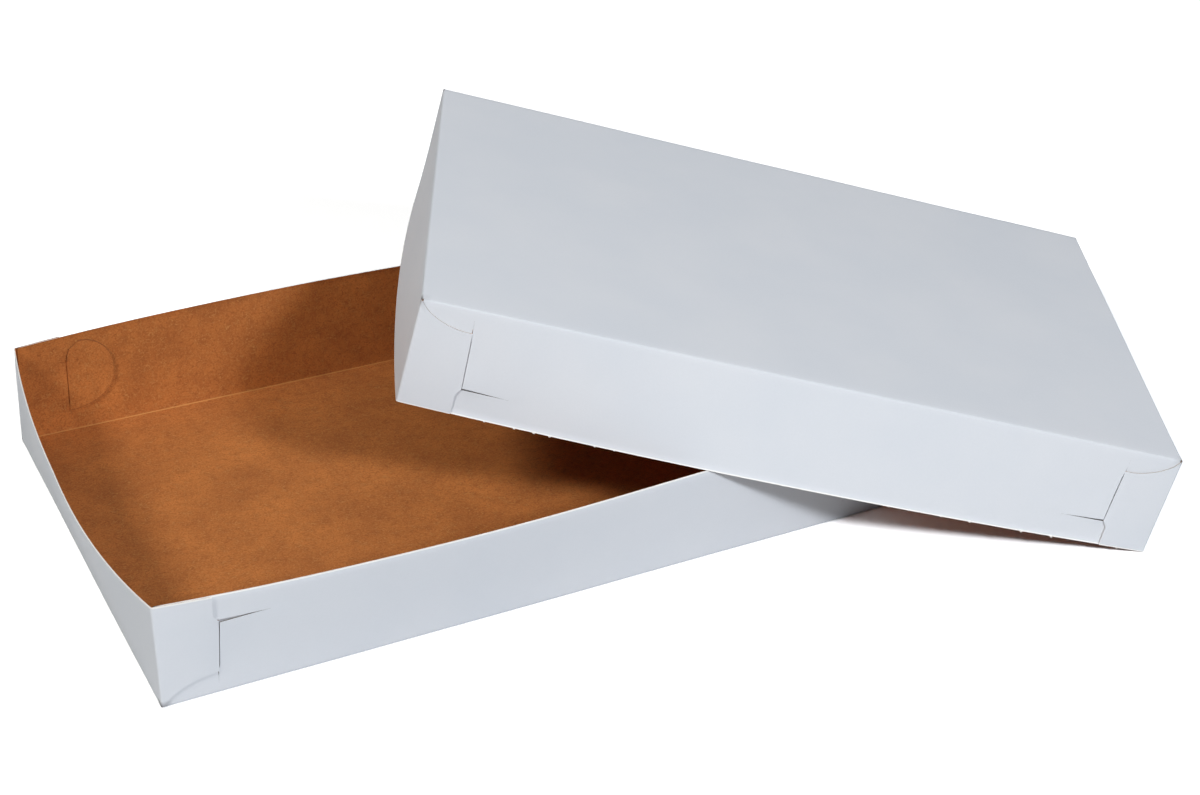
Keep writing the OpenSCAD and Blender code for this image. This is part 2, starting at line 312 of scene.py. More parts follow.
def long_wall(g, s):
    """Points of the long wall: its fold, then rows that swell, with the slanted slit,
    its level leg and the strips that the flap presses in and lifts."""
    lock, slit, head, H, rr = g.lock, g.slit, g.head, g.H, g.r - s * g.t
    y = np.concatenate([g.W / 2 - g.r + rr * np.sin(g.angle), np.full(g.n_side, g.W / 2 - s * g.t)])[None, :]
    z = np.concatenate([g.r - rr * np.cos(g.angle), g.rows_side[1:]])[None, :]
    z[0, FOLD - 1] = g.r
    stops = [0, g.leg, slit - lock.width / 2, slit + lock.width / 2, g.xs[-2]]
    x = g.xs[:, None] - np.interp(g.xs, stops, [0, 1, 1, 1, 0])[:, None] * slit_shift(lock, g.b, z)
    # the slit closes to a cut below the flap, and its leg towards its far end
    shut = np.clip((lock.flap_foot + 2.5 - z) / 2.8, 0.0, SLIT_SHUT) * lock.width / 2
    side_of = np.zeros((g.nx + 1, 1))
    side_of[[LEG + REACH, LEG + REACH + 1], 0] = 1.0, -1.0
    x = x + side_of * shut
    z = np.repeat(z, g.nx + 1, 0)
    far = np.clip((slit - lock.slant - x[:, LEG_ROW - 1]) / (lock.leg - 1.0), 0.0, LEG_SHUT)
    z[:, LEG_ROW - 1] += lock.width * far
    # the strip above the leg is pressed in and the wall below it is lifted
    d = np.clip((slit - x) / lock.leg, -1.0, 3.0)
    along = np.where(d < 0, 0.0, np.exp(-(d / PRESS_REACH) ** 2))
    above = np.clip((z - head + 0.1) / 3.0, 0.0, 1.0)
    below = np.where(z <= head - 0.05, np.exp(-((head - lock.width - z) / LIFT_HEIGHT) ** 2), 0.0)
    relief = lock.lift * along * below - lock.press * along * above * np.clip((H + 3 - z) / 8.0, 0.0, 1.0)
    tucked = np.where(x > slit - slit_shift(lock, g.b, z), np.exp(-((x - slit) / TUCK_WIDTH) ** 2), 0.0)
    rise, fall = np.clip((z - lock.flap_foot + 4.0) / 4.0, 0.0, 1.0), np.clip((head + 1.0 - z) / 4.0, 0.15, 1.0)
    relief = relief - lock.tuck * tucked * rise * fall
    # the die rolls the rim's last band over, and not at the corners
    curled = g.b["curl"] * np.clip((z - H + BURR) / BURR, 0.0, 1.0) * np.clip((g.L / 2 - x) / 20.0, 0.0, 1.0)
    return np.stack(np.broadcast_arrays(x, y + side_bow(g, x, z) + relief + curled, z), -1)


def flap_and_tongue(g, s):
    """Points of the flap: the corner fold, the run outside the long wall, the turn
    through the slit, and the tongue, half of an ellipse that stands on the slit."""
    lock, t, H, head, rr, rows = g.lock, g.t, g.H, g.head, g.r - s * g.t, np.arange(g.n_end + 1)
    cx, cy = g.L / 2 - g.r, g.outer - g.r
    base = np.concatenate([[g.r], g.rows_end[1:]])[:, None]
    u = 1 - (1 - np.arange(1, FLAP + 1) / FLAP)[None, :] ** 1.5
    foot = g.r + (lock.flap_foot - g.r) * (1 - (1 - u) ** 2) ** 0.75
    share = np.clip(rows / PASS_ROWS, 0, 1)[:, None]
    low = foot + (head - lock.clearance - foot) * share
    zf = np.where(rows[:, None] <= PASS_ROWS, low, base)
    short = np.where(rows[:, None] > PASS_ROWS, lock.flap_short, 0.0)
    end = g.slit + short - slit_shift(lock, g.b, zf)
    xf = cx + (end - cx) * u
    turn = (-t / 2 if s == 0 else t / 2)
    xf[:, -1] = (end + turn)[:, -1]
    xc = np.broadcast_to(cx + rr * np.cos(g.angle)[None, :], (g.n_end + 1, FOLD))
    yc = cy + rr * np.sin(g.angle)[None, :] + 0 * base
    zc = np.broadcast_to(base, (g.n_end + 1, FOLD))
    tucked = np.exp(-((end - xf) / TUCK_WIDTH) ** 2)
    yf = g.outer - s * t - lock.tuck * tucked * np.clip((head + 1.0 - zf) / 4.0, 0.0, 1.0)
    # tongue: it goes down from its top to the flap's foot, narrower at the hook
    start, top = zf[:, -1:], H - lock.tongue_drop
    q = np.linspace(0, math.pi / 2 * 0.985, TONGUE + 1)[None, :]
    mid = (top + lock.flap_foot) / 2
    zt = mid + (start - mid) * np.cos(q) ** 0.9
    back = np.where(q > 0, -t / 2, turn)
    hook = np.clip((start - head + lock.clearance) / (top - head + lock.clearance), 0.0, 1.0)
    inset = HOOK_INSET * lock.tongue_reach * (1 - np.sqrt(1 - hook**2))
    xt = g.slit - slit_shift(lock, g.b, zt) + back - inset - (lock.tongue_reach - inset) * np.sin(q)
    yt = g.W / 2 - t - g.gap - s * t - lock.tuck - lock.spring * np.sin(q) ** 2 * np.ones_like(zt)
    along = np.exp(-(np.clip((g.slit - xt) / lock.leg, 0.0, 3.0) / PRESS_REACH) ** 2)
    above, inward = np.clip((zt - head + 6.0) / 6.0, 0.0, 1.0), np.clip((g.slit - xt) / 1.5, 0.0, 1.0)
    yt = yt - lock.press * along * above * inward
    X, Y, Z = (np.concatenate(parts, 1) for parts in ((xc, xf, xt), (yc, yf, yt), (zc, zf, zt)))
    X = X + np.where(np.arange(X.shape[1])[None, :] < FOLD, end_bow(g, np.minimum(Y, g.outer), Z), 0.0)
    return np.stack([X, Y + side_bow(g, X, Z), Z], -1)


def flat_places(g):
    """Where each point lies on the flat blank, for the run of the fibres."""
    fold = np.linspace(0, g.r * ARC, FOLD + 1)[1:]
    fx = np.concatenate([g.xs, g.L / 2 - g.r + fold, g.L / 2 + g.rows_end[1:]])
    fy = np.concatenate([g.ys, g.W / 2 - g.r + fold, g.W / 2 + np.arange(1, g.NJ - g.ny - FOLD + 1) * 3.0])
    return np.stack(np.broadcast_arrays(fx[:, None], fy[None, :]), -1)


def board_cells(g):
    """The cells of the grid that are board, and those of the tongue."""
    i, j = np.arange(g.NI)[:, None], np.arange(g.NJ)[None, :]
    k, m = i - g.nx, j - g.ny
    q, p = k - FOLD, m - FOLD
    slit = (i == LEG + REACH) & (p >= FOOT_ROWS) & (p < FOOT_ROWS + SLIT_ROWS + 1)
    leg = (i >= LEG) & (i < LEG + REACH) & (p == FOOT_ROWS + SLIT_ROWS)
    # floor and end wall, long wall, flap, its passage through the slit, tongue
    M = (k < 0) & (m < 0) | (k >= 0) & (m < 0)
    M |= (k < 0) & (m >= 0) & (i < g.nx - 1) & (m < FOLD + g.n_side) & ~(slit | leg)
    M |= (q >= 0) & (m >= 0) & (m < PASSING)
    M |= (q >= 0) & (m == PASSING) & (q < PASS_ROWS)
    M |= (q >= 0) & (m > PASSING) & (m < PASSING + 1 + TONGUE) & (q < PASS_ROWS + HOOK_ROWS)
    return M, (q >= 0) & (m >= PASSING) & M


def sheet_marks(g):
    """Marks for the materials, 0 to 1 at each point: one in the folds of the floor, for painted shade on the white face
    and a painted highlight on the kraft; one along the rims, for a painted highlight on the white face; and one on the
    cut edges of slit, flap and tongue, for painted shade in the gaps."""
    score, rim, gash = (np.zeros((g.NI + 1, g.NJ + 1)) for _ in range(3))
    corner, wall, leg_row = g.nx + FOLD, g.ny + FOLD, g.ny + LEG_ROW
    x_end, x_slit, hook = g.nx - 1, LEG + REACH, corner + PASS_ROWS
    # painted shade along the slit, its leg, the flap's edge, the tongue and the cut at the corner
    gash[x_slit:x_slit + 2, wall + FOOT_ROWS:leg_row + 2] = 0.8
    gash[corner, wall:wall + FLAP] = 0.5
    gash[x_end, wall:wall + g.n_side + 1] = np.clip(0.8 + g.rows_side / g.H * 0.4, 0.0, 1.0)
    gash[[corner, hook + HOOK_ROWS], g.ny + PASSING + 1:g.ny + PASSING + 2 + TONGUE] = 1.0
    gash[hook:hook + HOOK_ROWS, g.ny + PASSING + 1] = 1.0
    gash[LEG:x_slit + 1, leg_row:leg_row + 2] = 0.8
    # painted shade on the white face and a painted highlight on the kraft in the floor's folds
    fold = np.sin(np.linspace(0, math.pi, FOLD + 1))
    score[g.nx:corner + 1, :g.ny + 1] = fold[:, None]
    score[:g.nx + 1, g.ny:wall + 1] = np.maximum(score[:g.nx + 1, g.ny:wall + 1], fold[None, :])
    rim[g.NI, :] = 1.0
    rim[:g.nx + 1, wall + g.n_side] = 1.0
    return score, rim, gash


def quarter(scene, b, side):
    """A quarter of the sheet: its points [face, i, j], their places on the blank, the
    cells that are board, the tongue's cells and the marks.

    Past the fold line each wall turns up round an arc of the fold radius, rises
    straight and swells outward. Past the end wall's side the flap turns round the
    corner, runs outside the long wall and goes through the slit."""
    g = quarter_grid(scene, b, side)
    Q = np.zeros((2, g.NI + 1, g.NJ + 1, 3))
    for s in (0, 1):
        Q[s, :g.nx + 1, :g.ny + 1, 0] = g.xs[:, None]
        Q[s, :g.nx + 1, :g.ny + 1, 1] = g.ys[None, :]
        Q[s, :g.nx + 1, :g.ny + 1, 2] = s * g.t
        Q[s, g.nx + 1:, :g.ny + 1] = end_wall(g, s)
        wall, flap = long_wall(g, s), flap_and_tongue(g, s)
        Q[s, :g.nx + 1, g.ny + 1:g.ny + 1 + wall.shape[1]] = wall
        Q[s, g.nx + FOLD:, g.ny + 1:g.ny + 1 + flap.shape[1]] = flap
    return Q, flat_places(g), *board_cells(g), *sheet_marks(g)


def waves(P, height, seed):
    """Slow waves of the board: seven crossed sines 90 to 230 mm long,
    height * (0.5 + sum / 4) cut off at 0 and height."""
    rng = np.random.default_rng(seed)
    way = rng.normal(size=(7, 3))
    way *= (2 * math.pi / rng.uniform(90, 230, 7) / np.linalg.norm(way, axis=1))[:, None]
    return height * np.clip(0.5 + np.sin(P @ way.T + rng.uniform(0, 6.28, 7)).sum(1) / 4, 0.0, 1.0)


def whole(scene, b):
    """The quarter mirrored about both middle lines: every point of the sheet, its
    place on the flat blank and the cells that are board."""
    parts = {side: quarter(scene, b, side) for side in (-1, 1)}
    NI, NJ = parts[1][2].shape
    I, J = np.arange(-NI, NI + 1), np.arange(-NJ, NJ + 1)
    a, c = np.abs(I)[:, None], np.abs(J)[None, :]
    right, left = parts[1][0][:, a, c], parts[-1][0][:, a, c]
    P = np.where((I < 0)[None, :, None, None], left, right)
    sign = np.stack(np.broadcast_arrays(np.where(I < 0, -1, 1)[:, None], np.where(J < 0, -1, 1)[None, :], 1), -1)
    flat = parts[1][1][a, c] * sign[..., :2]
    cell = lambda n, k: np.where(n < 0, -n - 1, n)[:k]
    ci, cj = cell(I, 2 * NI), cell(J, 2 * NJ)
    M, T = (parts[1][k][ci[:, None], cj[None, :]] for k in (2, 3))
    score, rim, gash = (parts[1][k][a, c] for k in (4, 5, 6))
    P = P * sign[None]
    # slow waves: every point moves inwards, both faces alike
    out = (P[0] - P[1]) / np.maximum(np.linalg.norm(P[0] - P[1], axis=-1, keepdims=True), 1e-6)
    depth = waves(P[0].reshape(-1, 3), scene.box_board.waviness / MM, 5 + int(b["L"]))
    P = P - (depth.reshape(a.shape[0], c.shape[1], 1) * out)[None]
    # painted shade in the notch where the four lower folds meet, past full strength at its middle
    pit = np.exp(-(((np.abs(P[0]) - [b["L"] / 2, b["W"] / 2, 0]) ** 2).sum(-1) / b["notch"] ** 2))
    pit = np.clip(1.4 * pit, 0.0, 1.0)
    return P, flat, M, T, dict(score=score, rim=rim, gash=gash, pit=pit)


def sheet_mesh(P, flat, M, T, marks):
    """Both faces of every cell of board, and a strip of cut edge between them wherever the next cell is missing. The
    tongue's cut edges take the kraft back, as painted shade in place of their pale core.
    Returns points, quads, the material of each quad, places on the blank and marks."""
    ni, nj = M.shape
    index = lambda i, j, s: (s * (ni + 1) + i) * (nj + 1) + j
    i, j = np.nonzero(M)
    corner = [(i, j), (i + 1, j), (i + 1, j + 1), (i, j + 1)]
    outer = np.stack([index(x, y, 0) for x, y in corner], 1)
    inner = np.stack([index(x, y, 1) for x, y in corner], 1)
    pad = np.pad(M, 1)
    gone = [~pad[i + 1, j], ~pad[i + 2, j + 1], ~pad[i + 1, j + 2], ~pad[i, j + 1]]
    quads, kinds = [outer[:, ::-1], inner], [np.zeros(len(i), int), np.ones(len(i), int)]
    for e in range(4):
        f, g = (e + 1) % 4, gone[e]
        quads.append(np.stack([outer[g, e], outer[g, f], inner[g, f], inner[g, e]], 1))
        # painted shade: the tongue's cut edges take the kraft back
        kinds.append(np.where(T[i[g], j[g]], 1, 2))
    quads, kinds = np.concatenate(quads), np.concatenate(kinds)
    points = P.reshape(-1, 3)
    marks = {key: np.tile(value.ravel(), 2) for key, value in marks.items()}
    marks["layer"] = np.repeat([0.0, 1.0], (ni + 1) * (nj + 1))
    uv = np.concatenate([flat.reshape(-1, 2)] * 2)
    used, quads = np.unique(quads, return_inverse=True)
    return points[used], quads.reshape(-1, 4), kinds, uv[used], {key: value[used] for key, value in marks.items()}


def make_piece(name, points, quads, kinds, uv, marks, materials, slot, node):
    """A mesh object at the origin, its points in metres, with its marks as attributes."""
    mesh = bpy.data.meshes.new(name)
    mesh.from_pydata((points * MM).tolist(), [], quads.tolist())
    for m in materials:
        mesh.materials.append(m)
    mesh.polygons.foreach_set("material_index", kinds.astype(np.int32))
    mesh.polygons.foreach_set("use_smooth", np.ones(len(quads), bool))
    for key, value in marks.items():
        mesh.attributes.new(key, "FLOAT", "POINT").data.foreach_set("value", value.astype(np.float32))
    loops = np.empty(len(mesh.loops), np.int32)
    mesh.loops.foreach_get("vertex_index", loops)
    mesh.uv_layers.new(name="blank").uv.foreach_set("vector", (uv[loops] * MM).astype(np.float32).ravel())
    mesh.set_sharp_from_angle(angle=math.radians(38))
    mesh.validate()
    obj = bpy.data.objects.new(name, mesh)
    bpy.context.scene.collection.objects.link(obj)
    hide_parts(node)
    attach(obj, "root")
    return obj


def lean_corner(P, b, lean, skew):
    """The free end is not even: with v = y / W' its back corner leans inward and its
    swell sits towards the front, x + (lean * max(v, 0)**3 + 2.6 * skew * v * (1 - v**2))
    * z / H with half the skew behind, which fades within 60 mm of the end wall."""
    x, y, z = P.T
    v = np.clip(y / (b["W"] / 2), -1, 1)
    near = np.clip(1 - (x + b["L"] / 2) / SKEW_REACH, 0, 1) ** 2
    shift = lean * np.clip(v, 0, 1) ** 3 + 2.6 * skew * v * (1 - v**2) * np.where(v > 0, 0.5, 1.0)
    return np.stack([x + shift * near * z / b["H"], y, z], 1)


def lid_pose(scene):
    """Rotation and offset of the lid, row frame, mm. Its low edge stands on the
    surface; the tilt is the one whose front edge just clears the tray's rim:
    sin(tilt) = (H + gap) / s at the distance s where the two cross in plan."""
    tray, lid, pose = half_sizes(scene, False), half_sizes(scene, True), plain(scene.box_lid)
    t, board = scene.box_lid.angle, scene.box_board.thickness / MM
    corner = np.array([tray["L"] / 2 + pose.reach, -tray["W"] / 2 - pose.advance, 0.0])
    low, high = 2 * tray["H"], lid["L"]
    for _ in range(40):
        s = (low + high) / 2
        tilt = math.asin((tray["H"] + pose.rest_gap) / s)
        out = lid["side"] * (1 - (2 * s / lid["L"] - 1) ** 2) - board
        x = corner[0] - s * math.cos(t) * math.cos(tilt) - out * math.sin(t)
        y = corner[1] + s * math.sin(t) * math.cos(tilt) - out * math.cos(t)
        if y + tray["W"] / 2 + rim_swell(tray, x) > 0:
            high = s
        else:
            low = s
    c, d, e, f = math.cos(t), math.sin(t), math.cos(tilt), math.sin(tilt)
    turn = np.array([[c, d, 0], [-d, c, 0], [0, 0, 1.0]]) @ np.array([[e, 0, f], [0, 1, 0], [-f, 0, e]])
    flip = np.diag([1.0, -1.0, -1.0])
    offset = corner + turn @ np.array([-lid["L"] / 2, lid["W"] / 2, lid["H"]])
    return turn @ flip, offset


def node(tree, kind, at, inputs=None, **settings):
    """Adds one node: settings are its properties, inputs maps a socket to a value or
    to an output to link."""
    n = tree.nodes.new(kind)
    n.location = (at[0] * 220, at[1] * -220)
    for key, value in settings.items():
        setattr(n, key, value)
    for key, value in (inputs or {}).items():
        if isinstance(value, bpy.types.NodeSocket):
            tree.links.new(value, n.inputs[key])
        else:
            n.inputs[key].default_value = value
    return n


def rgba(colour):
    return tuple(colour) + (1.0,)


def mark(tree, at, name):
    """The value of one of the mesh's marks."""
    return node(tree, "ShaderNodeAttribute", at, attribute_name=name).outputs["Fac"]


def noise(tree, at, place, scale, detail, roughness=0.5, distortion=0.0):
    """The value of a noise with scale cells to the metre."""
    inputs = {"Vector": place, "Scale": scale, "Detail": detail, "Roughness": roughness, "Distortion": distortion}
    return node(tree, "ShaderNodeTexNoise", at, inputs).outputs["Fac"]


def stretch(tree, at, value, low=0.0, high=1.0, to_low=0.0, to_high=1.0):
    """A value that runs from to_low at low to to_high at high, and stays there beyond."""
    inputs = {"Value": value, "From Min": low, "From Max": high, "To Min": to_low, "To Max": to_high}
    return node(tree, "ShaderNodeMapRange", at, inputs).outputs["Result"]


def maths(tree, at, operation, *values, clamp=False):
    """The result of one sum on numbers or outputs."""
    n = node(tree, "ShaderNodeMath", at, dict(enumerate(values)), operation=operation, use_clamp=clamp)
    return n.outputs["Value"]


def mix(tree, at, factor, a, b):
    """The colour between two colours."""
    return node(tree, "ShaderNodeMix", at, {"Factor": factor, "A": a, "B": b}, data_type="RGBA").outputs["Result"]


def bump(tree, at, height, strength, distance, normal=None):
    """A normal bent by a height, on top of another one."""
    inputs = {"Height": height, "Strength": strength, "Distance": distance}
    if normal is not None:
        inputs["Normal"] = normal
    return node(tree, "ShaderNodeBump", at, inputs).outputs["Normal"]


def empty_material(name):
    """A node material without nodes, and its tree."""
    m = bpy.data.materials.new(name)
    m.use_nodes = True
    m.node_tree.nodes.clear()
    return m, m.node_tree


def board_material(name):
    """A node material with its output and Principled shader."""
    m, tree = empty_material(name)
    shader = node(tree, "ShaderNodeBsdfPrincipled", (10, 0))
    node(tree, "ShaderNodeOutputMaterial", (12, 0), {"Surface": shader.outputs["BSDF"]})
    return m, tree, shader


def finish_material(tree, shader, colour, normal, roughness):
    """Links the colour and the normal to the shader and sets its roughness."""
    tree.links.new(colour, shader.inputs["Base Color"])
    tree.links.new(normal, shader.inputs["Normal"])
    shader.inputs["Roughness"].default_value = roughness


def coated_white(scene):
    """Clay-coated white paperboard, calendered: a smooth eggshell face, evenly white but for a faint mottle, with
    painted shade in the folds of the floor, a painted highlight along the rim, where the die has rounded it over, and
    painted shade in the corner notches."""
    c = scene.box_colours
    m, tree, shader = board_material("clay_coated_white_board")
    place = node(tree, "ShaderNodeTexCoord", (-4, 0)).outputs["Object"]
    # mottle of about 60 mm and 1 mm
    cloud = noise(tree, (-3, 0), place, 16.0, 3.0)
    fine = noise(tree, (-3, 1), place, 900.0, 3.0, 0.6)
    speck = stretch(tree, (-2, 1), fine, 0.3, 0.7, 0.985, 1.0)
    # painted shade in the folds of the floor
    pressed = stretch(tree, (-2, 4), mark(tree, (-3, 4), "score"), to_low=1.0, to_high=0.86)
    even = maths(tree, (-1, 4), "MULTIPLY", pressed, speck)
    tone = mix(tree, (-1, 0), stretch(tree, (-2, 0), cloud, 0.35, 0.65), rgba(c.white_shade), rgba(c.white))
    grainy = node(tree, "ShaderNodeVectorMath", (0, 0), {0: tone, "Scale": even}, operation="SCALE").outputs["Vector"]
    # painted highlight along the rims
    rounded = maths(tree, (0, 1), "MULTIPLY", mark(tree, (-3, 2), "rim"), 1.5, clamp=True)
    rim_highlight = mix(tree, (1, 0), rounded, grainy, rgba(c.rim_highlight))
    # painted shade in the corner notches
    shaded_colour = mix(tree, (2, 0), mark(tree, (-3, 3), "pit"), rim_highlight, rgba(c.shade_colour))
    broad = bump(tree, (3, 2), cloud, 0.04, 0.003)
    finish_material(tree, shader, shaded_colour, bump(tree, (4, 2), fine, 0.1, 0.0003, broad), 0.55)
    shader.inputs["IOR"].default_value = 1.45
    return m


def kraft_back(scene):
    """Unbleached kraft back of the board: matt orange brown, made of fibres 1 to 3 mm long, with soft clouds, paler and
    darker hairs, small dark shives, a painted highlight along each fold of the floor, and painted shade along the cut
    edges at the lock and in the corner notches."""
    c = scene.box_colours
    m, tree, shader = board_material("kraft_paperboard_back")
    place = node(tree, "ShaderNodeTexCoord", (-8, 0)).outputs["Object"]
    blank = node(tree, "ShaderNodeUVMap", (-8, 2), uv_map="blank").outputs["UV"]
    # the paper machine lays fibres along the blank: the hairs are stretched
    lay = node(tree, "ShaderNodeMapping", (-7, 2), {"Vector": blank, "Scale": (1.0, 1.7, 1.0)}).outputs["Vector"]
    other = node(tree, "ShaderNodeMapping", (-7, 3), {
        "Vector": blank, "Rotation": (0.0, 0.0, 0.9), "Location": (0.7, 0.3, 0.0),
        "Scale": (1.0, 1.5, 1.0)}).outputs["Vector"]
    # clouds of 40 mm, flocks of 7 mm, shives about 5 mm apart, a tooth of 1 mm
    cloud = noise(tree, (-6, 0), place, 25.0, 4.0, 0.55)
    flock = noise(tree, (-6, 1), place, 150.0, 5.0, 0.65)
    pale = noise(tree, (-6, 2), lay, 210.0, 2.0, 0.45, 0.5)
    dark = noise(tree, (-6, 3), other, 190.0, 2.0, 0.45, 0.5)
    shive = node(tree, "ShaderNodeTexVoronoi", (-6, 4), {"Vector": lay, "Scale": 190.0})
    tooth = noise(tree, (-6, 5), place, 1100.0, 3.0, 0.6)
    # a hair is a thin band where its noise is near one half: pale ones cross the
    # denser flocks and dark ones the others
    hairs = []
    for row, source, ends in ((2, pale, (0.0, 1.0)), (3, dark, (1.0, 0.0))):
        away = maths(tree, (-4, row), "ABSOLUTE", maths(tree, (-5, row), "SUBTRACT", source, 0.5))
        band = stretch(tree, (-3, row), away, 0.0, 0.03, 1.0, 0.0)
        broken = stretch(tree, (-3, row + 0.5), flock, 0.42, 0.6, *ends)
        hairs.append(maths(tree, (-2, row), "MULTIPLY", band, broken))
    dots = stretch(tree, (-3, 4), shive.outputs["Distance"], 0.04, 0.16, 0.5, 0.0)
    few = stretch(tree, (-3, 4.5), shive.outputs["Color"], 0.55, 0.8)
    layers = (
        (stretch(tree, (-3, 1), flock, 0.46, 0.7, 0.0, 0.5), c.kraft_dark),
        (maths(tree, (-1, 2), "MULTIPLY", hairs[0], 0.55), c.kraft_light),
        (maths(tree, (-1, 3), "MULTIPLY", hairs[1], 0.55), c.kraft_dark),
        (maths(tree, (-2, 4), "MULTIPLY", dots, few), c.shive),
        (stretch(tree, (-3, 5), tooth, 0.52, 0.72, 0.0, 0.6), c.kraft_dark),
        (stretch(tree, (-3, 5.5), tooth, 0.44, 0.28, 0.0, 0.45), c.kraft_light),
        # painted highlight along the floor's folds; painted shade at the lock, in the shives' colour, and in the corner
        # notches
        (maths(tree, (-2, 6), "MULTIPLY", mark(tree, (-3, 6), "score"), 0.75), c.kraft_light),
        (stretch(tree, (-2, 8), mark(tree, (-3, 8), "gash"), 0.85, 1.0, 0.0, 0.75), c.shive),
        (mark(tree, (-3, 7), "pit"), c.shade_colour))
    colour = mix(tree, (-1, 0), stretch(tree, (-3, 0), cloud, 0.36, 0.66), rgba(c.kraft), rgba(c.kraft_clear))
    for step, (factor, tone) in enumerate(layers):
        colour = mix(tree, (step, 0), factor, colour, rgba(tone))
    fibres = bump(tree, (3, 2), hairs[0], 0.2, 0.0003)
    finish_material(tree, shader, colour, bump(tree, (4, 2), tooth, 0.3, 0.0004, fibres), 0.85)
    return m


def cut_edge(scene):
    """Die-cut edge of the board: white clay skin, pale fibrous core, brown kraft liner. The white skin takes the
    painted rim highlight, and painted shade darkens the edge in the corner notches and along the slit, the flap's
    curved edge and the cut at the corner.
    """
    c = scene.box_colours
    m, tree, shader = board_material("die_cut_board_edge")
    place = node(tree, "ShaderNodeTexCoord", (-4, 1)).outputs["Object"]
    # painted shade in the corner notches and along slits and cut edges
    dim = maths(tree, (0, 1), "MAXIMUM", mark(tree, (-1, 1), "pit"), mark(tree, (-1, 2), "gash"))
    # fibres of about 1 mm make the layers wander
    rag = noise(tree, (-3, 1), place, 700.0, 3.0)
    wander = maths(tree, (-2, 1), "MULTIPLY_ADD", rag, 0.24, -0.12)
    depth = maths(tree, (-1, 0), "ADD", mark(tree, (-4, 0), "layer"), wander)
    layers = node(tree, "ShaderNodeValToRGB", (0, 0), {"Fac": depth})
    stops = layers.color_ramp.elements
    # the white side of the cut takes the painted rim highlight
    stops[0].position, stops[0].color = 0.0, rgba(c.rim_highlight)
    stops[1].position, stops[1].color = 1.0, rgba(c.kraft)
    for at, colour in ((0.25, c.edge), (0.93, c.edge), (0.98, c.kraft_light)):
        stops.new(at).color = rgba(colour)
    shaded_colour = mix(tree, (2, 0), dim, layers.outputs["Color"], rgba(c.shade_colour))
    finish_material(tree, shader, shaded_colour, bump(tree, (3, 2), rag, 0.3, 0.0003), 0.9)
    return m


def studio_floor(scene):
    """Matt white paper sweep. Seen directly its colour is past white, as overexposed
    paper is, so only the deep contact shadows stay; the light it throws on the
    object is that of plain paper."""
    m, tree = empty_material("studio_floor_matt_paper")
    stage, white = scene.box_stage, (1.0, 1.0, 1.0, 1.0)
    path = node(tree, "ShaderNodeLightPath", (-3, 0)).outputs
    seen = maths(tree, (-2, 0), "MAXIMUM", path["Is Camera Ray"], path["Is Transmission Ray"])
    mirrored = mix(tree, (-1, 0), path["Is Glossy Ray"], rgba(stage.floor), white)
    colour = mix(tree, (0, 0), seen, mirrored, rgba([stage.burn] * 3))
    paper = node(tree, "ShaderNodeBsdfDiffuse", (2, 0), {"Color": colour})
    # beyond the lamps' reach, 0.9 to 1.5 m out, the sweep is plain white to the eye
    place = node(tree, "ShaderNodeTexCoord", (-2, 3)).outputs["Object"]
    away = node(tree, "ShaderNodeVectorMath", (-1, 3), {0: place}, operation="LENGTH").outputs["Value"]
    share = maths(tree, (1, 3), "MULTIPLY", stretch(tree, (0, 3), away, 0.9, 1.5), seen)
    glow = node(tree, "ShaderNodeEmission", (2, 2), {"Color": white, "Strength": 1.0})
    sweep = node(tree, "ShaderNodeMixShader", (3, 0), {
        "Fac": share, 1: paper.outputs["BSDF"], 2: glow.outputs["Emission"]})
    node(tree, "ShaderNodeOutputMaterial", (4, 0), {"Surface": sweep.outputs["Shader"]})
    return m


def board_materials(scene):
    """The three faces of the board, made once and shared by both halves."""
    make = {"clay_coated_white_board": coated_white, "kraft_paperboard_back": kraft_back, "die_cut_board_edge": cut_edge}
    return [bpy.data.materials.get(name) or maker(scene) for name, maker in make.items()]


def die_nicks(b, board):
    """Torn bridges that the cutting die leaves on the front rim: at each place hangs
    a wedge, size long and 0.45 * size high, with a shorter lower side."""
    x = np.asarray(NICKS, float)[:, None]
    size = (NICK_SIZE + NICK_SPREAD * np.sin(7.0 * np.arange(len(NICKS))))[:, None]
    u = np.array([-0.5, 0.5, 0.28, -0.2] * 2)[None, :]
    v = np.repeat([0.1, 0.9], 4)[None, :]
    w = np.array([0, 0, 1, 1] * 2)[None, :]
    X = x + u * size
    Y = b["W"] / 2 + rim_swell(b, X) + b["curl"] - board * v
    Z = b["H"] - 0.1 + w * size * 0.45
    quads = np.array([[3, 2, 1, 0], [4, 5, 6, 7], [0, 4, 7, 3], [2, 6, 5, 1], [3, 7, 6, 2], [1, 5, 4, 0]])
    quads = (quads[None] + 8 * np.arange(len(x))[:, None, None]).reshape(-1, 4)
    return np.stack(np.broadcast_arrays(X, Y, Z), -1).reshape(-1, 3), quads


class BOX_OT_tray(bpy.types.Operator):
    """Make the open tray, one folded sheet that stands on its floor"""

    bl_idname = "bakery_box.tray"
    bl_label = "Make tray"

    def execute(self, context):
        scene = context.scene
        b = half_sizes(scene, False)
        points, *sheet = sheet_mesh(*whole(scene, b))
        t = plain(scene.box_tray)
        points = lean_corner(points, b, t.corner_lean, t.end_skew)
        make_piece("tray_folded_board", points, *sheet, board_materials(scene), "tray_board", "base_tray")
        return {"FINISHED"}


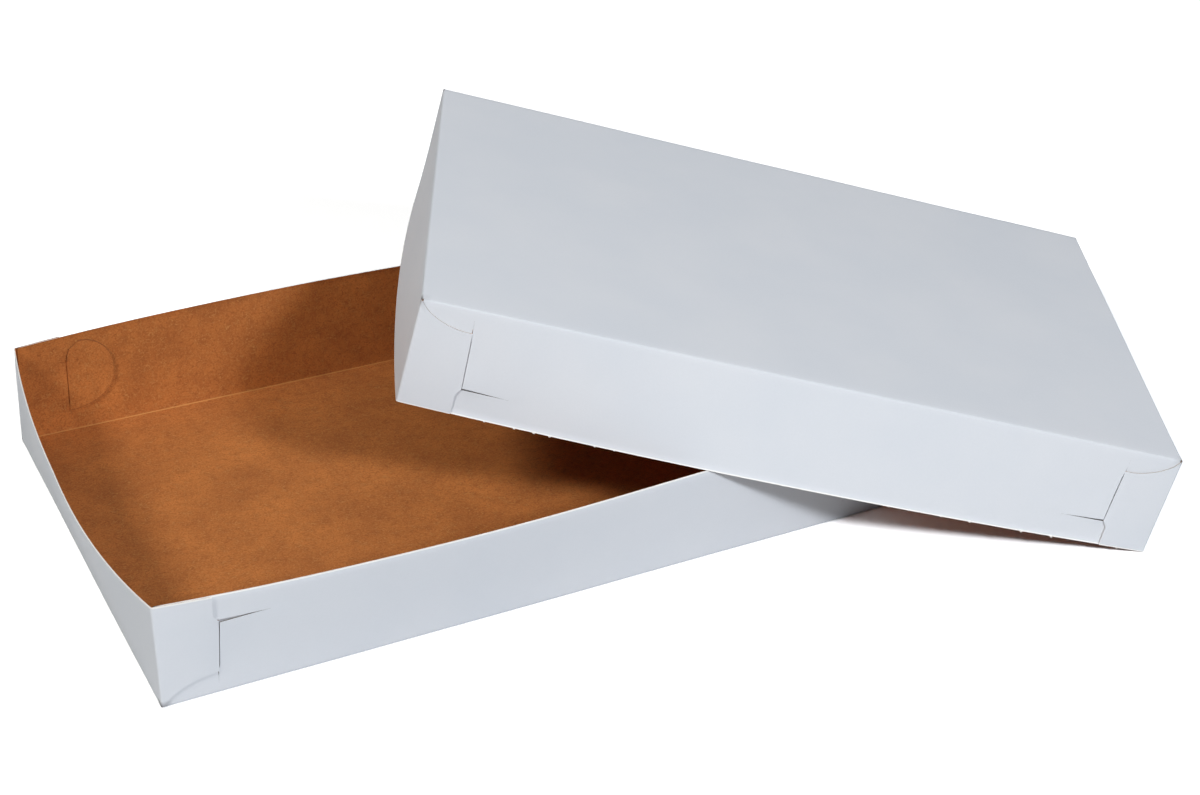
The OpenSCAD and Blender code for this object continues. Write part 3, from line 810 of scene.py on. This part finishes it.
class BOX_OT_lid(bpy.types.Operator):
    """Make the lid, a second folded sheet, turned over and leaning on the tray"""

    bl_idname = "bakery_box.lid"
    bl_label = "Make lid"

    def execute(self, context):
        scene = context.scene
        b = half_sizes(scene, True)
        points, quads, kinds, uv, marks = sheet_mesh(*whole(scene, b))
        extra, faces = die_nicks(b, scene.box_board.thickness / MM)
        quads = np.concatenate([quads, faces + len(points)])
        points, uv = np.concatenate([points, extra]), np.concatenate([uv, extra[:, :2]])
        kinds = np.concatenate([kinds, np.full(len(faces), 2)])
        for key, value in marks.items():
            marks[key] = np.concatenate([value, np.full(len(extra), 0.4 if key == "layer" else 0.0)])
        turn, offset = lid_pose(scene)
        points = points @ turn.T + offset
        make_piece("lid_folded_board", points, quads, kinds, uv, marks, board_materials(scene), "lid_board", "lid")
        return {"FINISHED"}


def add_floor(scene):
    """The studio floor, a flat sheet 24 m wide just under the object."""
    u, v = np.meshgrid(np.linspace(-12, 12, 3), np.linspace(-12, 12, 3), indexing="ij")
    points = np.stack([u, v, np.full_like(u, -0.0002)], -1).reshape(-1, 3)
    quads = (np.array([[0, 3, 4, 1]]) + np.array([0, 1, 3, 4])[:, None]).tolist()
    mesh = bpy.data.meshes.new("studio_floor")
    mesh.from_pydata(points.tolist(), [], quads)
    mesh.materials.append(studio_floor(scene))
    floor = bpy.data.objects.new("studio_floor", mesh)
    scene.collection.objects.link(floor)


def add_world(scene):
    """A faint even light, which the eye and mirrors see as white."""
    world = bpy.data.worlds.new("studio_world")
    scene.world = world
    world.use_nodes = True
    tree = world.node_tree
    tree.nodes.clear()
    path = node(tree, "ShaderNodeLightPath", (-3, 0)).outputs
    seen = maths(tree, (-2, 0), "MAXIMUM", path["Is Camera Ray"], path["Is Glossy Ray"])
    seen = maths(tree, (-1, 0), "MAXIMUM", seen, path["Is Transmission Ray"])
    faint = {"Color": rgba(linear("#F4F7FC")), "Strength": scene.box_stage.ambient}
    light = node(tree, "ShaderNodeBackground", (0, 0), faint)
    white = node(tree, "ShaderNodeBackground", (0, 1), {"Color": (1.0, 1.0, 1.0, 1.0), "Strength": 1.0})
    both = {0: seen, 1: light.outputs["Background"], 2: white.outputs["Background"]}
    shown = node(tree, "ShaderNodeMixShader", (1, 0), both)
    node(tree, "ShaderNodeOutputWorld", (2, 0), {"Surface": shown.outputs["Shader"]})


def add_lamp(scene, name, place, aim, size, power, colour):
    """A square soft lamp at place that points at aim."""
    data = bpy.data.lights.new(name, "AREA")
    data.shape, data.size, data.energy, data.color = "SQUARE", size, power, linear(colour)
    obj = bpy.data.objects.new(name, data)
    obj.location = place
    obj.rotation_mode = "QUATERNION"
    obj.rotation_quaternion = (Vector(aim) - Vector(place)).to_track_quat("-Z", "Y")
    scene.collection.objects.link(obj)


def add_camera(scene):
    """The camera of the photograph, with the shift of its crop."""
    stage = scene.box_stage
    camera = bpy.data.cameras.new("photo_view")
    camera.sensor_width, camera.lens = 36.0, stage.focal
    camera.shift_x, camera.shift_y = stage.shift
    camera.clip_start, camera.clip_end = 0.05, 60.0
    obj = bpy.data.objects.new("photo_view", camera)
    a, e = stage.azimuth, stage.elevation
    back = Vector((math.sin(a) * math.cos(e), -math.cos(a) * math.cos(e), math.sin(e)))
    obj.location = stage.place
    obj.rotation_mode = "QUATERNION"
    obj.rotation_quaternion = (-back).to_track_quat("-Z", "Y") @ Quaternion((0, 0, 1), stage.roll)
    scene.collection.objects.link(obj)
    scene.camera = obj


class BOX_OT_stage(bpy.types.Operator):
    """Make the floor, the soft lamps, the world and the camera"""

    bl_idname = "bakery_box.stage"
    bl_label = "Make stage"

    def execute(self, context):
        scene = context.scene
        stage = scene.box_stage
        add_floor(scene)
        add_world(scene)
        add_lamp(scene, "key_left", (-2.35, -1.05, 2.65), (0.1, 0.0, 0.05), 0.75, stage.key, "#FFFDF8")
        add_lamp(scene, "front_low", (0.45, -2.85, 2.0), (0.1, 0.0, 0.05), 0.4, stage.front, "#F5F9FF")
        add_lamp(scene, "overhead_broad", (0.1, -0.1, 2.5), (0.1, 0.0, 0.0), 2.2, stage.over, "#F3F7FF")
        add_camera(scene)
        scene.view_settings.view_transform = "Standard"
        return {"FINISHED"}


class BOX_PT_panel(bpy.types.Panel):
    """Sidebar panel with the box's settings and its operators"""

    bl_idname = "BOX_PT_panel"
    bl_label = "Bakery Box"
    bl_space_type = "VIEW_3D"
    bl_region_type = "UI"
    bl_category = "Bakery Box"

    def draw(self, context):
        for group in GROUPS:
            settings = getattr(context.scene, group)
            box = self.layout.box()
            for key in settings.bl_rna.properties.keys():
                if key not in ("rna_type", "name"):
                    box.prop(settings, key)
        for kind in OPERATORS:
            self.layout.operator(kind.bl_idname)


GROUPS = {
    "box_board": BoardSettings, "box_tray": TraySettings, "box_lock": LockSettings,
    "box_lid": LidSettings, "box_colours": ColourSettings, "box_stage": StageSettings}
OPERATORS = (BOX_OT_tray, BOX_OT_lid, BOX_OT_stage)


def register():
    for kind in (*GROUPS.values(), *OPERATORS, BOX_PT_panel):
        bpy.utils.register_class(kind)
    for name, kind in GROUPS.items():
        setattr(bpy.types.Scene, name, bpy.props.PointerProperty(type=kind))


def unregister():
    for name in GROUPS:
        delattr(bpy.types.Scene, name)
    for kind in (BOX_PT_panel, *reversed(OPERATORS), *reversed(list(GROUPS.values()))):
        bpy.utils.unregister_class(kind)


def main():
    register()
    bpy.ops.bakery_box.tray()
    bpy.ops.bakery_box.lid()
    bpy.ops.bakery_box.stage()


if __name__ == "__main__":
    main()
